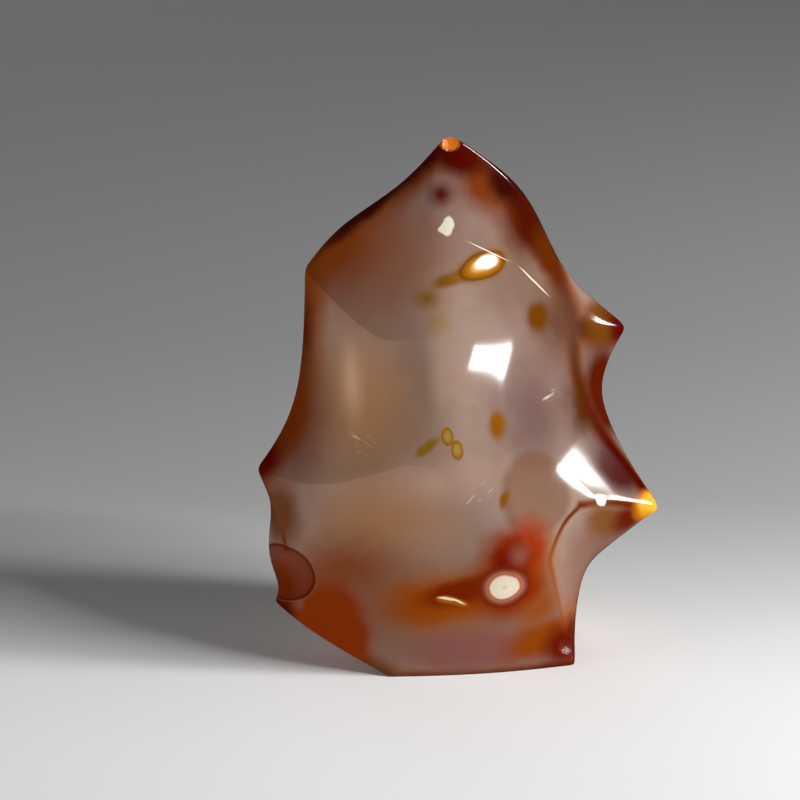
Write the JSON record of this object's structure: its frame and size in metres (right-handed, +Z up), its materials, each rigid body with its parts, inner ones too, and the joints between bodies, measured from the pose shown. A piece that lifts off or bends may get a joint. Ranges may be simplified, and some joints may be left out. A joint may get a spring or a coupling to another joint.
{
  "type": "flame agate freeform",
  "caption": "Polished flame agate freeform: one upright stone of hollow-ground faces meeting in ridges and points, standing on a flat sawn base.",
  "frame": {"origin": "on the surface it stands on, below the middle of its bounding box", "axes": "+Z up through the apex, +X to the right of the face in the picture, +Y away from the viewer"},
  "size_m": [0.0798, 0.0446, 0.1052],
  "materials": {
    "polished_agate": "high wheel polish on translucent milky grey-brown agate with iron-red points, edges and patches"
  },
  "bodies": {
    "root": {"agate_stone": "polished_agate"}
  },
  "joints": []
}
